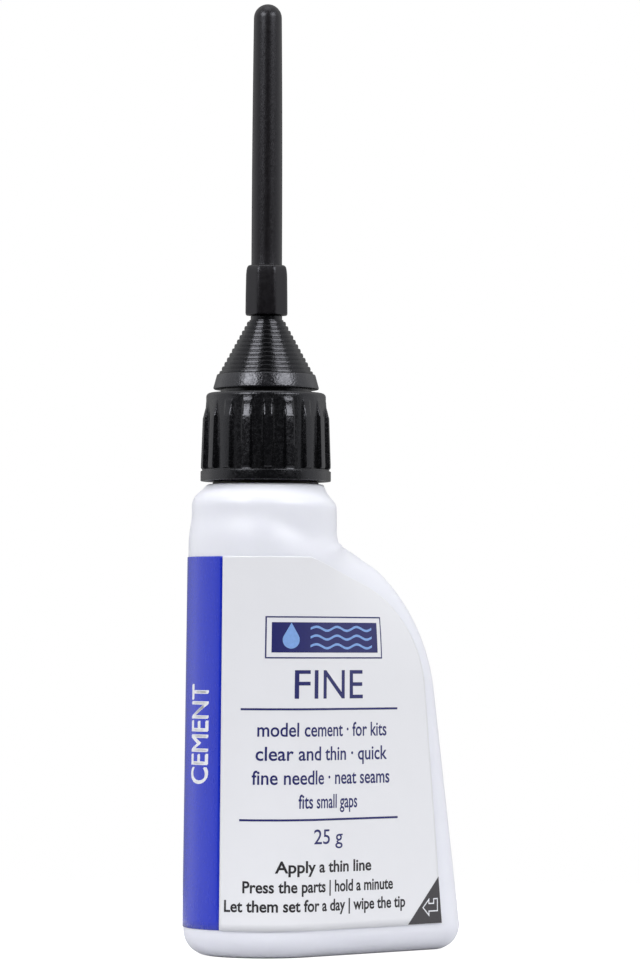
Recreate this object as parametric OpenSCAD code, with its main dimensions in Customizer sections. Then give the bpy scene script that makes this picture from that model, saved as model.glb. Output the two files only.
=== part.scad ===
// Squeeze bottle for model cement with a steel needle applicator.
// A round spine tapers into a thin wing; the neck stands over the spine.
// Millimetres, +Z up, origin under the middle of the foot's bounding box.
// +X points from the spine to the thin edge, -Y is the front.

/* [Bottle body] */
// Height of the shoulder, where the neck starts
body_h = 67.7; // [60:0.1:82]
// Radius of the round spine at the foot
spine_r = 11.6; // [10:0.1:14.4]
// Radius of the round spine under the shoulder step
spine_top_r = 11.05; // [10.7:0.05:13]
// Radius of the plain round shoulder
shoulder_r = 10.65; // [9.8:0.05:11]
// Height of the plain shoulder above the step
shoulder_h = 5.4; // [4.5:0.1:7]
// Height of the sloping rim on top of the shoulder
rim_slope_h = 3.1; // [2.4:0.1:3.4]
// Width of the sloping rim on top of the shoulder
rim_slope_w = 2.5; // [1.5:0.1:2.6]
// Radius of the thin edge opposite the spine
edge_r = 5.2; // [4.4:0.1:6.2]
// Distance from the spine's axis to the thin edge's axis at the foot
wing_reach = 27.5; // [23:0.1:32.5]
// Lean of the thin edge away from upright, in degrees
wing_flare = 7.5; // [4:0.1:9]
// Radius of the arc that carries the thin edge up to the shoulder
wing_arc_r = 27; // [25:0.5:36]
// Radius of the rounding along the foot
foot_r = 3.6; // [3:0.1:4.2]
// Thickness of the blown wall
wall = 0.9; // [0.7:0.05:1.2]
// Depth of the hollow under the foot
foot_hollow = 0.6; // [0.3:0.1:1]
// Width of the standing rim around that hollow
foot_rim = 2.4; // [1.8:0.1:3]
// Height of the cement inside
fill_h = 50; // [20:1:54]

/* [Neck and thread] */
// Height of the neck above the shoulder
neck_h = 10.2; // [9:0.1:12.5]
// Outer radius of the neck between the threads
neck_r = 6.3; // [5.9:0.05:7]
// Radius of the bore through the neck
neck_bore_r = 5; // [4.2:0.05:5.2]
// How far the thread stands out of the neck
thread_depth = 0.8; // [0.6:0.05:0.9]
// Rise of the thread in one turn
thread_pitch = 3; // [2.6:0.1:3.4]
// Turns of thread on the neck
neck_turns = 1.75; // [1.25:0.25:1.75]
// Turns of thread inside the collar
collar_turns = 1.25; // [1:0.25:1.25]
// How far the support ring stands out of the neck
ring_out = 1.35; // [1:0.05:1.6]
// Height of the support ring
ring_h = 0.35; // [0.3:0.05:0.6]

/* [Screw collar] */
// Wall of the collar outside its thread
collar_wall = 1.3; // [1.1:0.05:1.6]
// Thickness of the collar's inward lip
lip_t = 1.1; // [0.9:0.1:1.4]
// How far the lip reaches over the nozzle's flange
lip_catch = 0.35; // [0.25:0.05:0.45]
// Number of grip ribs
rib_count = 18; // [12:1:24]
// Width of a grip rib
rib_w = 1.35; // [1:0.05:1.6]
// How far a rib stands out at its top
rib_top_out = 0.5; // [0.3:0.05:0.6]
// How far a rib stands out at its foot
rib_foot_out = 0.76; // [0.6:0.05:0.9]
// Height of the plain ring at the collar's foot
foot_ring_h = 1.45; // [1:0.05:2]

/* [Nozzle] */
// Thickness of the nozzle's flange
flange_t = 1; // [0.8:0.1:1.4]
// Length of the plug that enters the neck
plug_l = 3.8; // [3:0.1:5]
// Wall of the plug and of the cone
nozzle_wall = 1; // [0.8:0.05:1.2]
// Gap that shows between the collar and the nozzle's band
band_gap = 0.4; // [0.3:0.05:0.6]
// Radius of the smooth band at its foot
band_r = 7.7; // [7.4:0.05:8.2]
// Height of the smooth band
band_h = 2.35; // [2:0.05:3]
// How much narrower the band is at its top
band_draft = 0.6; // [0.3:0.05:0.8]
// Height of the ringed cone
cone_h = 7.85; // [6.5:0.05:9.4]
// Outer radius of the lowest ring on the cone
cone_foot_r = 6.8; // [6.4:0.05:7]
// Radius of the cone's top
cone_top_r = 2.7; // [2.1:0.05:2.8]
// Number of rings on the cone
cone_rings = 12; // [8:1:14]
// Depth of the grooves between the rings
groove_depth = 0.38; // [0.2:0.02:0.44]
// Radius of the spigot that holds the needle and the sleeve
spigot_r = 1.65; // [1.5:0.05:1.8]
// Length of the spigot
spigot_l = 6.2; // [4.5:0.1:7]

/* [Needle] */
// Outer diameter of the needle
needle_d = 0.8; // [0.6:0.02:1]
// Diameter of the needle's bore
needle_bore_d = 0.5; // [0.3:0.02:0.54]
// Length of the needle beyond the spigot
needle_out = 32.6; // [24:0.1:36]
// Length of the needle held inside the nozzle
needle_in = 7.5; // [5:0.1:8]

/* [Needle sleeve] */
// Length of the sleeve
sleeve_l = 45.2; // [42.2:0.1:52]
// Height of the eight-sided grip at the sleeve's foot
grip_h = 7.2; // [6:0.1:9]
// Width of the grip across its flats
grip_w = 6.07; // [5.4:0.05:7.2]
// Outer radius of the sleeve's tube above the grip
tube_foot_r = 2.22; // [2.2:0.02:2.6]
// Outer radius of the sleeve's tube near its tip
tube_tip_r = 2.03; // [1.9:0.02:2.18]
// Radius of the long bore that clears the needle
tube_bore_r = 1.05; // [0.8:0.05:1.3]

/* [Seal] */
// Thickness of the seal washer
seal_t = 0.8; // [0.6:0.1:1.2]

/* [Label] */
// Height of the label's lower edge above the foot
label_foot = 4.1; // [4:0.1:8]
// Distance from the label's upper edge to the shoulder step
label_drop = 5.15; // [4.6:0.05:9]
// Thickness of each paper layer
paper_t = 0.09; // [0.06:0.01:0.12]
// Margin between the label's free edge and the thin edge's outline at the foot
label_margin = 5.5; // [5.2:0.1:8]
// Lean of the label's free edge away from upright, in degrees
label_flare = 4.6; // [3:0.1:7]
// Slope of the label's shoulder, in degrees
label_slope = 19; // [15:1:26]
// Reach of the label's upper edge past the neck's axis
label_top_x = 1.1; // [-2:0.1:3]
// Radius of the label's large outer corner
label_corner_r = 17; // [10:0.5:18]
// Angle of the leaf's fold line around the spine, in degrees
fold_angle = 27; // [20:1:45]

/* [Fits] */
// Radial clearance of parts that slide or turn in each other
running_fit = 0.08; // [0.05:0.01:0.1]
// Radial clearance between the two threads
thread_fit = 0.25; // [0.2:0.01:0.3]
// Radial room between the flange and the collar's bore
flange_fit = 0.35; // [0.25:0.05:0.4]
// Gap between stacked faces that come apart
face_gap = 0.1; // [0.05:0.01:0.15]
// Gap under each paper layer
film_gap = 0.04; // [0.035:0.005:0.06]

/* [Hidden] */
$fn = 96;
spine_steps = 36;      // facets round the spine
edge_steps = 10;       // facets round the thin edge
flank_steps = 8;       // facets across each flank, which is twisted where the edge leans in
helix_steps = 24;      // facets in one turn of thread

// Body
step_z = body_h - shoulder_h;
step_blend = 3;        // height over which the step rounds off
wing_top = step_z - 1.2;
wing_side = wing_reach - foot_r * tan(wing_flare) + edge_r;
spine_side = spine_at(foot_r) + film_gap + paper_t;
neck_x = (spine_side - wing_side) / 2;
floor_t = foot_hollow + wall;

// Stack of the closure, from the neck up
neck_top = body_h + neck_h;
flange_z = neck_top + seal_t;
collar_foot = body_h + ring_h + face_gap;
lip_z = flange_z + flange_t + face_gap;
collar_top = lip_z + lip_t;
band_z = collar_top + band_gap;
cone_z = band_z + band_h;
cone_top = cone_z + cone_h;
sleeve_z = cone_top + 0.7;
spigot_top = sleeve_z + spigot_l;
needle_z = spigot_top - needle_in;
needle_tip = spigot_top + needle_out;
sleeve_top = sleeve_z + sleeve_l;
thread_z = body_h + 3.1;
thread_crest_r = neck_r + thread_depth;
collar_bore_r = thread_crest_r + thread_fit;
collar_r = collar_bore_r + collar_wall;
flange_r = collar_bore_r - flange_fit;
throat_r = flange_r - lip_catch - running_fit;
plug_r = neck_bore_r - running_fit;

// Label
label_z = label_foot;
label_top = step_z - label_drop;
label_foot_x = wing_side - label_margin;

function lerp(a, b, t) = a + (b - a) * t;
function unit(v) = v / norm(v);

// Points of an arc that rounds the corner at b between a and c
function corner(a, b, c, r, n = 6) =
    let (d1 = unit(a - b), d2 = unit(c - b), half = acos(d1 * d2) / 2,
         ctr = b + unit(d1 + d2) * r / sin(half),
         p = b + d1 * r / tan(half) - ctr, q = b + d2 * r / tan(half) - ctr,
         a0 = atan2(p.y, p.x), da = atan2(q.y, q.x) - a0,
         turn = da > 180 ? da - 360 : da < -180 ? da + 360 : da)
    [for (i = [0:n]) ctr + r * [cos(a0 + turn * i / n), sin(a0 + turn * i / n)]];

// The thin edge's axis leans in a straight line, then follows one arc that
// is tangent to the line and passes over the spine's axis at wing_top.
function arc_centre() =
    let (d = [-sin(wing_flare), cos(wing_flare)], n = [cos(wing_flare), sin(wing_flare)],
         a = [wing_reach, 0] - wing_arc_r * n - [0, wing_top], b = a * d)
    [wing_reach, 0] - wing_arc_r * n
        + d * (-b - sqrt(b * b - a * a + wing_arc_r * wing_arc_r));
arc_c = arc_centre();
arc_foot = arc_c.y + wing_arc_r * sin(wing_flare);
function reach_at(z) =
    z < arc_foot ? wing_reach - z * tan(wing_flare)
    : arc_c.x + sqrt(max(0, pow(wing_arc_r, 2) - pow(z - arc_c.y, 2)));

// The spine's radius shrinks evenly, then rounds into the plain shoulder
function smooth(t) = let (c = min(1, max(0, t))) c * c * (3 - 2 * c);
function spine_at(z) =
    lerp(lerp(spine_r, spine_top_r, z / step_z), shoulder_r - 0.15,
         smooth((z - step_z) / step_blend + 0.8));
function taper_at(z) =
    let (d = spine_at(z) - edge_r) acos(d / max(reach_at(z), d + 0.06));

// One horizontal section of the body, drawn in by off and by the foot's rounding
function section(z, off, z0, r) =
    let (inset = z - z0 < r ? r - sqrt(r * r - pow(r - z + z0, 2)) : 0,
         d = spine_at(z) - edge_r, e = edge_r - off - inset,
         reach = max(reach_at(z), d + 0.06), phi = taper_at(z),
         near = (d + e) * [cos(phi), sin(phi), 0], far = [reach, 0, 0] + e * [cos(phi), sin(phi), 0],
         flank = [for (i = [1:flank_steps - 1]) lerp(near, far, i / flank_steps)])
    concat(
        [for (i = [0:spine_steps]) let (a = lerp(phi, 360 - phi, i / spine_steps))
            [(d + e) * cos(a), (d + e) * sin(a), z]],
        [for (p = flank) [p.x, -p.y, z]],
        [for (i = [0:edge_steps]) let (a = lerp(-phi, phi, i / edge_steps))
            [reach + e * cos(a), e * sin(a), z]],
        [for (i = [flank_steps - 2:-1:0]) [flank[i].x, flank[i].y, z]]);

// Heights of the sections, closer together where the body curves
arc_end = acos((spine_top_r - edge_r - arc_c.x) / wing_arc_r);
function body_rows(z0, r) = concat(
    [for (a = [0:18:72]) z0 + r * (1 - cos(a))],
    [for (t = [0:3]) lerp(z0 + r, arc_foot, t / 3)],
    [for (t = [1:16]) arc_c.y + wing_arc_r * sin(lerp(wing_flare, arc_end, t / 16))],
    [for (t = [1:5]) step_z + step_blend * (t / 5 - 0.8)]);

// A closed solid through the sections at the heights zs
module loft(zs, off, z0, r) {
    m = spine_steps + edge_steps + 2 * flank_steps;
    n = len(zs);
    lid = [for (i = [0:m - 1]) (i + spine_steps / 2) % m];
    polyhedron(
        points = [for (z = zs) each section(z, off, z0, r)],
        faces = concat(
            [lid], [[for (i = [m - 1:-1:0]) (n - 1) * m + lid[i]]],
            [for (j = [0:n - 2], i = [0:m - 1]) let (k = (i + 1) % m)
                each [[j * m + i, (j + 1) * m + k, j * m + k],
                      [j * m + i, (j + 1) * m + i, (j + 1) * m + k]]]));
}

// Half profile of the shoulder and neck, drawn in by off
function shoulder_profile(off) =
    let (r = shoulder_r - off, top = body_h - off, slope = top - rim_slope_h)
    concat([[0, step_z - 12], [r, step_z - 12]],
           corner([r, step_z], [r, slope], [r - rim_slope_w, top], 2),
           corner([r, slope], [r - rim_slope_w, top], [neck_bore_r, top], 1),
           [[neck_bore_r - off, top], [0, top]]);

// A ridge of one-start right-hand thread; depth is negative for a thread that points inwards
module thread(root_r, depth, turns, z) {
    n = round(turns * helix_steps);
    foot = depth > 0 ? root_r - 0.2 : root_r + 0.2;
    pts = [for (i = [0:n])
        let (a = 360 * i / helix_steps, fade = min(1, (i + 0.6) / 5, (n - i + 0.6) / 5),
             crest = root_r + depth * fade, zc = z + thread_pitch * i / helix_steps,
             w = thread_pitch * 0.24, c = thread_pitch * 0.12)
        each [for (p = [[foot, -w], [crest, -c], [crest, c], [foot, w]])
            [p[0] * cos(a), p[0] * sin(a), zc + p[1]]]];
    sides = [for (i = [0:n - 1], k = [0:3]) let (j = (k + 1) % 4)
        each [[4 * i + k, 4 * i + 4 + k, 4 * i + 4 + j], [4 * i + k, 4 * i + 4 + j, 4 * i + j]]];
    ends = [[0, 1, 2, 3], [4 * n + 3, 4 * n + 2, 4 * n + 1, 4 * n]];
    faces = concat(sides, ends);
    polyhedron(points = pts,
               faces = depth < 0 ? faces : [for (f = faces) [for (i = [len(f) - 1:-1:0]) f[i]]]);
}

// Outline of the teardrop that the foot's hollow is cut to
function teardrop(big_r, small_r, reach) =
    let (phi = acos((big_r - small_r) / reach))
    concat([for (i = [0:spine_steps]) let (a = lerp(phi, 360 - phi, i / spine_steps))
               big_r * [cos(a), sin(a)]],
           [for (i = [0:edge_steps]) let (a = lerp(-phi, phi, i / edge_steps))
               [reach + small_r * cos(a), small_r * sin(a)]]);

module bottle() {
    color([0.9, 0.905, 0.94])
    translate([neck_x, 0, 0]) {
        difference() {
            union() {
                difference() {
                    loft(body_rows(0, foot_r), 0, 0, foot_r);
                    translate([-40, -40, -1]) cube([100, 80, 1.001]);
                }
                rotate_extrude() polygon(shoulder_profile(0));
                cylinder(r = neck_r, h = neck_top);
                translate([0, 0, body_h - 0.5]) cylinder(r = neck_r + ring_out, h = ring_h + 0.5);
            }
            loft(body_rows(floor_t, foot_r - wall), wall, floor_t, foot_r - wall);
            rotate_extrude() polygon(shoulder_profile(wall));
            translate([0, 0, body_h - 2]) cylinder(r = neck_bore_r, h = neck_h + 3);
            translate([0, 0, -1]) linear_extrude(1 + foot_hollow)
                polygon(teardrop(spine_r - foot_r - foot_rim, max(0.6, edge_r - foot_r - 0.8),
                                 wing_reach - foot_rim + 0.8));
        }
        thread(neck_r, thread_depth, neck_turns, thread_z);
    }
}

module glue() {
    color([0.86, 0.87, 0.8, 0.6])
    translate([neck_x, 0, 0]) {
        z0 = floor_t + film_gap;
        r = foot_r - wall;
        loft(concat([for (z = body_rows(z0, r)) if (z < fill_h - 0.3) z], [fill_h]),
             wall + film_gap, z0, r);
    }
}

// Distance round the body from the middle of the spine to the point at x
function skin_length(z, x) =
    let (r = spine_at(z), phi = taper_at(z))
    x > r * cos(phi) ? r * (180 - phi) * PI / 180 + (x - r * cos(phi)) / sin(phi)
                     : r * (180 - acos(x / r)) * PI / 180;

// Point of the body's side, off the surface by off, at the distance u round from
// the middle of the spine; u is positive on the front
function skin(u, z, off) =
    let (r = spine_at(z), phi = taper_at(z), side = u < 0 ? -1 : 1, v = abs(u),
         round_l = r * (180 - phi) * PI / 180, a = 180 - v / r * 180 / PI)
    v < round_l
        ? [(r + off) * cos(a), -side * (r + off) * sin(a), z]
        : [(r + off) * cos(phi) + (v - round_l) * sin(phi),
           side * (-(r + off) * sin(phi) + (v - round_l) * cos(phi)), z];

// Free edge of the label: a sloping shoulder, a large round corner and a
// nearly upright side, given as x at the height z
function label_edge(z) =
    let (s = [cos(label_slope), -sin(label_slope)], f = [sin(label_flare), -cos(label_flare)],
         a = [label_top_x, label_top], b = [label_foot_x, label_z],
         k = a + s * ((b.x - a.x) * f.y - (b.y - a.y) * f.x) / (s.x * f.y - s.y * f.x),
         arc = corner(a, k, b, label_corner_r, 1), p = arc[0], q = arc[1],
         c = q - label_corner_r * [cos(label_flare), sin(label_flare)])
    z > p.y ? a.x + (a.y - z) * s.x / -s.y
    : z < q.y ? b.x + (z - b.y) * f.x / f.y
    : c.x + sqrt(pow(label_corner_r, 2) - pow(z - c.y, 2));

// Heights of the label's rows: the body's own, with one more between each two near the top,
// where the label narrows quickly
label_marks = concat([label_z],
    [for (z = body_rows(0, foot_r)) if (z > label_z + 1.5 && z < label_top - 0.4) z],
    [label_top]);
label_rows = [for (i = [0:len(label_marks) - 1]) let (z = label_marks[i])
    each (z > label_top - 14 ? [(label_marks[i - 1] + z) / 2, z] : [z])];

// A sheet of paper on the body's side, from ends[j][0] to ends[j][1] in row j
module sheet(ends, off, n) {
    rows = len(label_rows);
    m = n + 1;
    half = rows * m;
    pts = [for (d = [off, off + paper_t], j = [0:rows - 1], i = [0:n])
        skin(lerp(ends[j][0], ends[j][1], i / n), label_rows[j], d)];
    rim = concat([for (i = [0:n]) i], [for (j = [1:rows - 1]) j * m + n],
                 [for (i = [n - 1:-1:0]) (rows - 1) * m + i], [for (j = [rows - 2:-1:1]) j * m]);
    polyhedron(points = pts, faces = concat(
        [for (j = [0:rows - 2], i = [0:n - 1]) let (k = j * m + i)
            each [[k, k + 1, k + m + 1], [k, k + m + 1, k + m]]],
        [for (j = [0:rows - 2], i = [0:n - 1]) let (k = half + j * m + i)
            each [[k, k + m + 1, k + 1], [k, k + m, k + m + 1]]],
        [for (i = [0:len(rim) - 1]) let (p = rim[i], q = rim[(i + 1) % len(rim)])
            each [[p, half + p, half + q], [p, half + q, q]]]));
}

module label_base() {
    color([0.87, 0.875, 0.9])
    translate([neck_x, 0, 0])
        sheet([for (z = label_rows) let (u = skin_length(z, label_edge(z))) [-u, u]], film_gap, 56);
}

module label_leaf() {
    color([0.93, 0.93, 0.95])
    translate([neck_x, 0, 0])
        sheet([for (z = label_rows) [spine_at(z) * fold_angle * PI / 180,
                                     skin_length(z, label_edge(z)) - 0.15]],
              2 * film_gap + paper_t, 30);
}

// Stepped outline of the ringed cone
function cone_profile() = [for (i = [0:cone_rings - 1])
    let (pitch = cone_h / cone_rings, z = cone_z + i * pitch,
         r = lerp(cone_foot_r, cone_top_r + 0.15, i / (cone_rings - 1)))
    each [[r, z], [r - 0.08, z + pitch * 0.58], [r - groove_depth, z + pitch * 0.62],
          [r - groove_depth, z + pitch]]];

module nozzle() {
    bore_r = plug_r - nozzle_wall;
    inner_top = cone_top - 1.6;
    color([0.06, 0.06, 0.065])
    translate([neck_x, 0, 0])
    difference() {
        rotate_extrude() polygon(concat(
            [[0, flange_z - plug_l], [plug_r - 0.35, flange_z - plug_l],
             [plug_r, flange_z - plug_l + 0.8], [plug_r, flange_z],
             [flange_r, flange_z], [flange_r, flange_z + flange_t * 0.6],
             [flange_r - 0.15, flange_z + flange_t], [throat_r, flange_z + flange_t],
             [throat_r, band_z], [band_r - 0.2, band_z], [band_r, band_z + 0.2],
             [band_r - band_draft, band_z + band_h - 0.1],
             [band_r - band_draft - 0.1, band_z + band_h]],
            cone_profile(),
            [[cone_top_r - 0.42, cone_top], [cone_top_r - 0.42, sleeve_z - face_gap],
             [spigot_r, sleeve_z - face_gap], [spigot_r, spigot_top - 0.4],
             [spigot_r - 0.3, spigot_top], [0, spigot_top]]));
        rotate_extrude() polygon([
            [0, flange_z - plug_l - 1], [bore_r, flange_z - plug_l - 1], [bore_r, flange_z + flange_t],
            [cone_foot_r - nozzle_wall - groove_depth - 1.4, cone_z],
            [needle_d / 2 + 0.4, inner_top], [0, inner_top]]);
        translate([0, 0, inner_top - 1])
            cylinder(d = needle_d, h = spigot_top - inner_top + 2);
    }
}

module needle() {
    color([0.75, 0.76, 0.78])
    translate([neck_x, 0, needle_z])
    difference() {
        cylinder(d = needle_d, h = needle_tip - needle_z, $fn = 48);
        translate([0, 0, -1]) cylinder(d = needle_bore_d, h = needle_tip - needle_z + 2, $fn = 48);
    }
}

module seal_washer() {
    color([0.3, 0.3, 0.3])
    translate([neck_x, 0, neck_top + face_gap / 2])
    difference() {
        cylinder(r = neck_r - 0.05, h = seal_t - face_gap / 2);
        translate([0, 0, -1]) cylinder(r = plug_r + running_fit, h = seal_t + 2);
    }
}

// Outline of the collar without its ribs
function collar_profile() = concat(
    [[0, collar_foot], [collar_r + rib_foot_out, collar_foot]],
    corner([collar_r + rib_foot_out, collar_foot], [collar_r + rib_foot_out, collar_foot + foot_ring_h],
           [collar_r, collar_foot + foot_ring_h], 0.25, 3),
    [[collar_r + rib_foot_out - 0.22, collar_foot + foot_ring_h],
     [collar_r + rib_foot_out - 0.22, collar_foot + foot_ring_h + 0.2],
     [collar_r, collar_foot + foot_ring_h + 0.2]],
    corner([collar_r, collar_foot], [collar_r, collar_top], [0, collar_top], 1.15),
    [[0, collar_top]]);

module collar_rib() {
    z0 = collar_foot + foot_ring_h + 0.2;
    z1 = collar_top - 1.2;
    translate([0, rib_w / 2, 0]) rotate([90, 0, 0]) linear_extrude(rib_w)
        polygon([[collar_r - 0.4, z0 - 0.1], [collar_r + rib_foot_out - 0.25, z0 - 0.1],
                 [collar_r + rib_foot_out, z0 + 0.35], [collar_r + rib_top_out + 0.08, z1 - 2.5],
                 [collar_r + rib_top_out, z1 - 2.1], [collar_r + 0.08, z1], [collar_r - 0.4, z1]]);
}

module screw_collar() {
    color([0.05, 0.05, 0.055])
    translate([neck_x, 0, 0]) {
        difference() {
            union() {
                rotate_extrude() polygon(collar_profile());
                for (i = [0:rib_count - 1]) rotate(-120 + 2.7 + i * 360 / rib_count) collar_rib();
            }
            translate([0, 0, collar_foot - 1]) cylinder(r = collar_bore_r, h = lip_z - collar_foot + 1);
            translate([0, 0, lip_z - 1]) cylinder(r = throat_r + running_fit, h = lip_t + 2);
        }
        thread(collar_bore_r, -thread_depth, collar_turns, thread_z + thread_pitch / 2);
    }
}

module needle_sleeve() {
    tip = tube_tip_r;
    color([0.07, 0.07, 0.075])
    translate([neck_x, 0, 0])
    difference() {
        union() {
            intersection() {
                translate([0, 0, sleeve_z]) rotate(-120 + 22.5)
                    linear_extrude(grip_h) circle(r = grip_w / 2 / cos(22.5), $fn = 8);
                rotate_extrude() polygon([
                    [0, sleeve_z], [grip_w / 2 - 0.15, sleeve_z], [grip_w / 2 + 0.3, sleeve_z + 0.45],
                    [grip_w / 2 + 0.3, sleeve_z + grip_h - 0.5],
                    [grip_w / 2 - 0.3, sleeve_z + grip_h], [0, sleeve_z + grip_h]]);
            }
            rotate_extrude() polygon(concat(
                [[0, sleeve_z + 1], [tube_foot_r, sleeve_z + 1], [tube_foot_r, sleeve_z + grip_h]],
                [for (a = [0:10:90]) [tip * cos(a), sleeve_top - tip + tip * sin(a)]]));
        }
        translate([0, 0, sleeve_z - 1]) cylinder(r = spigot_r + running_fit, h = spigot_l + 1.3);
        translate([0, 0, sleeve_z]) cylinder(r = tube_bore_r, h = needle_tip + 1.5 - sleeve_z);
    }
}

bottle();
glue();
label_base();
label_leaf();
nozzle();
needle();
seal_washer();
screw_collar();
needle_sleeve();
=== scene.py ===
from math import acos, atan2, cos, hypot, pi, radians, sin, sqrt, tan

import bmesh
import bpy
from mathutils import Matrix, Vector


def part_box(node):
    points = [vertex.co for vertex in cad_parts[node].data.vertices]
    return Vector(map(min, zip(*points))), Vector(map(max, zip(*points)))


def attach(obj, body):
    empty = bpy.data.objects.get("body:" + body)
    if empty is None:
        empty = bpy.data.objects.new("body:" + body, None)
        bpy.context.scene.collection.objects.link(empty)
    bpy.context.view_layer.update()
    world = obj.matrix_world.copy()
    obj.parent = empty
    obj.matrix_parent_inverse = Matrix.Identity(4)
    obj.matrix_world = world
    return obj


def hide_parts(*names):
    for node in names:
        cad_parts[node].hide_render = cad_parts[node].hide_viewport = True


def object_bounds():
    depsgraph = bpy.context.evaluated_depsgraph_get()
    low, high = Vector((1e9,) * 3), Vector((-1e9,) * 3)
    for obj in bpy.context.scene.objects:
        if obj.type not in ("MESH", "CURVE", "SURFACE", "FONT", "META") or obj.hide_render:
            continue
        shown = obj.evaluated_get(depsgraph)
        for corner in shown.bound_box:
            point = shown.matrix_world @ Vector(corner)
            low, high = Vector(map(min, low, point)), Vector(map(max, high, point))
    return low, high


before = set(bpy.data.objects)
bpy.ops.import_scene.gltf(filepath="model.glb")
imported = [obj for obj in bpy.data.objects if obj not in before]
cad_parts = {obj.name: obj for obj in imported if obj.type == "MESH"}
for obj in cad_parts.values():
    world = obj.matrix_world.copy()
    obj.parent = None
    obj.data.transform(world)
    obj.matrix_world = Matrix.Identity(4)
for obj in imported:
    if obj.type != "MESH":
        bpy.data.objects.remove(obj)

cad_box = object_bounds()


# ---- Camera ---------------------------------------------------------------
# A long lens a third of the way up, turned so that the round spine is on the left and the
# thin edge points away to the right. It tips up a little to take in the whole sleeve.
mm = 0.001
needle_low, needle_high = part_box("needle")
neck_x = (needle_low.x + needle_high.x) / 2
total_h = cad_box[1].z
view_turn = radians(-30)
view_distance = 640 * mm
view_side = 7.85 * mm
eye_height = 0.330 * total_h
aim_height = 0.4978 * total_h
lens_mm = 166.2
camera_roll = radians(0.25)

to_camera = Vector((sin(view_turn), -cos(view_turn), 0))
to_right = Vector((cos(view_turn), sin(view_turn), 0))
stand_point = Vector((neck_x, 0, 0)) + to_right * view_side
eye = stand_point + to_camera * view_distance + Vector((0, 0, eye_height))
aim = stand_point + Vector((0, 0, aim_height))
camera = bpy.data.objects.new("camera", bpy.data.cameras.new("camera"))
camera.data.lens = lens_mm
camera.data.clip_start = 0.01
camera.location = eye
camera.rotation_euler = ((aim - eye).to_track_quat("-Z", "Y")
                         @ Matrix.Rotation(camera_roll, 3, "Z").to_quaternion()).to_euler()
bpy.context.scene.collection.objects.link(camera)
bpy.context.scene.camera = camera
bpy.context.scene.view_settings.view_transform = "Standard"


# ---- Studio ---------------------------------------------------------------
# A pale floor that fades into a white surround, two tall soft boxes left and right of the
# camera, and a soft top light.
def link_new(name, data):
    thing = bpy.data.objects.new(name, data)
    bpy.context.scene.collection.objects.link(thing)
    return thing


def new_material(name, **constants):
    """A material with its Principled shader's constants set on their own sockets."""
    material = bpy.data.materials.new(name)
    material.use_nodes = True
    shader = material.node_tree.nodes["Principled BSDF"]
    for socket, value in constants.items():
        shader.inputs[socket.replace("_", " ")].default_value = value
    return material, material.node_tree, shader


def join(source, output, target, socket):
    """Links one node's output to another node's input in the same tree."""
    source.id_data.links.new(source.outputs[output], target.inputs[socket])


floor_radius = 900 * mm
floor_solid = 45 * mm
floor_fade = 200 * mm
floor_mesh = bmesh.new()
bmesh.ops.create_circle(floor_mesh, cap_ends=True, segments=96, radius=floor_radius)
floor = link_new("studio_floor", bpy.data.meshes.new("studio_floor"))
floor_mesh.to_mesh(floor.data)
floor_mesh.free()
floor_paint, tree, shader = new_material(
    "studio_floor", Base_Color=(0.60, 0.60, 0.61, 1), Roughness=0.8, Emission_Color=(1, 1, 1, 1))
spot = tree.nodes.new("ShaderNodeTexCoord")
span = tree.nodes.new("ShaderNodeVectorMath")
span.operation = "LENGTH"
fade = tree.nodes.new("ShaderNodeMapRange")
fade.interpolation_type = "SMOOTHSTEP"
fade.inputs["From Min"].default_value = floor_solid
fade.inputs["From Max"].default_value = floor_fade
fade.inputs["To Min"].default_value = 1
fade.inputs["To Max"].default_value = 0
join(spot, "Object", span, 0)
join(span, "Value", fade, "Value")
glow = tree.nodes.new("ShaderNodeLightPath")
lift_up = tree.nodes.new("ShaderNodeMath")
lift_up.operation = "MULTIPLY"
lift_up.inputs[1].default_value = 0.93
join(fade, "Result", shader, "Alpha")
join(glow, "Is Camera Ray", lift_up, 0)
join(lift_up, "Value", shader, "Emission Strength")
floor.data.materials.append(floor_paint)


def soft_box(name, turn, lift, width, tall, power, distance=0.7):
    """A soft box turned round and lifted up from the camera's direction, aimed at the bottle."""
    light = bpy.data.lights.new(name, "AREA")
    light.shape = "RECTANGLE"
    light.size = width
    light.size_y = tall
    light.energy = power
    lamp = link_new(name, light)
    a, e = view_turn + radians(turn), radians(lift)
    middle = Vector((neck_x, 0, total_h * 0.5))
    lamp.location = middle + distance * Vector((sin(a) * cos(e), -cos(a) * cos(e), sin(e)))
    lamp.rotation_euler = (middle - lamp.location).to_track_quat("-Z", "Y").to_euler()


soft_box("left_box", -40, 32, 0.36, 0.26, 2.9)
soft_box("right_box", 46, 32, 0.40, 0.26, 2.6)
soft_box("top_box", 0, 80, 0.40, 0.40, 0.9)

# The surround is white at the sides, and dark on the camera's side and straight behind
world = bpy.data.worlds.new("white_studio")
world.use_nodes = True
bpy.context.scene.world = world
sky = world.node_tree
seen = sky.nodes.new("ShaderNodeLightPath")
way = sky.nodes.new("ShaderNodeTexCoord")
facing = sky.nodes.new("ShaderNodeVectorMath")
facing.operation = "DOT_PRODUCT"
facing.inputs[1].default_value = to_camera
halved = sky.nodes.new("ShaderNodeMath")
halved.operation = "MULTIPLY_ADD"
halved.inputs[1].default_value = 0.5
halved.inputs[2].default_value = 0.5
dim = sky.nodes.new("ShaderNodeValToRGB")
surround = ((0.0, 0.20), (0.09, 0.42), (0.22, 0.92), (0.60, 0.92), (0.78, 0.05), (1.0, 0.05))
while len(dim.color_ramp.elements) < len(surround):
    dim.color_ramp.elements.new(0.5)
for stop, (place, level) in zip(dim.color_ramp.elements, surround):
    stop.position = place
    stop.color = (level, level, level, 1)
lit = sky.nodes["Background"]
shown = sky.nodes.new("ShaderNodeBackground")
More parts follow.
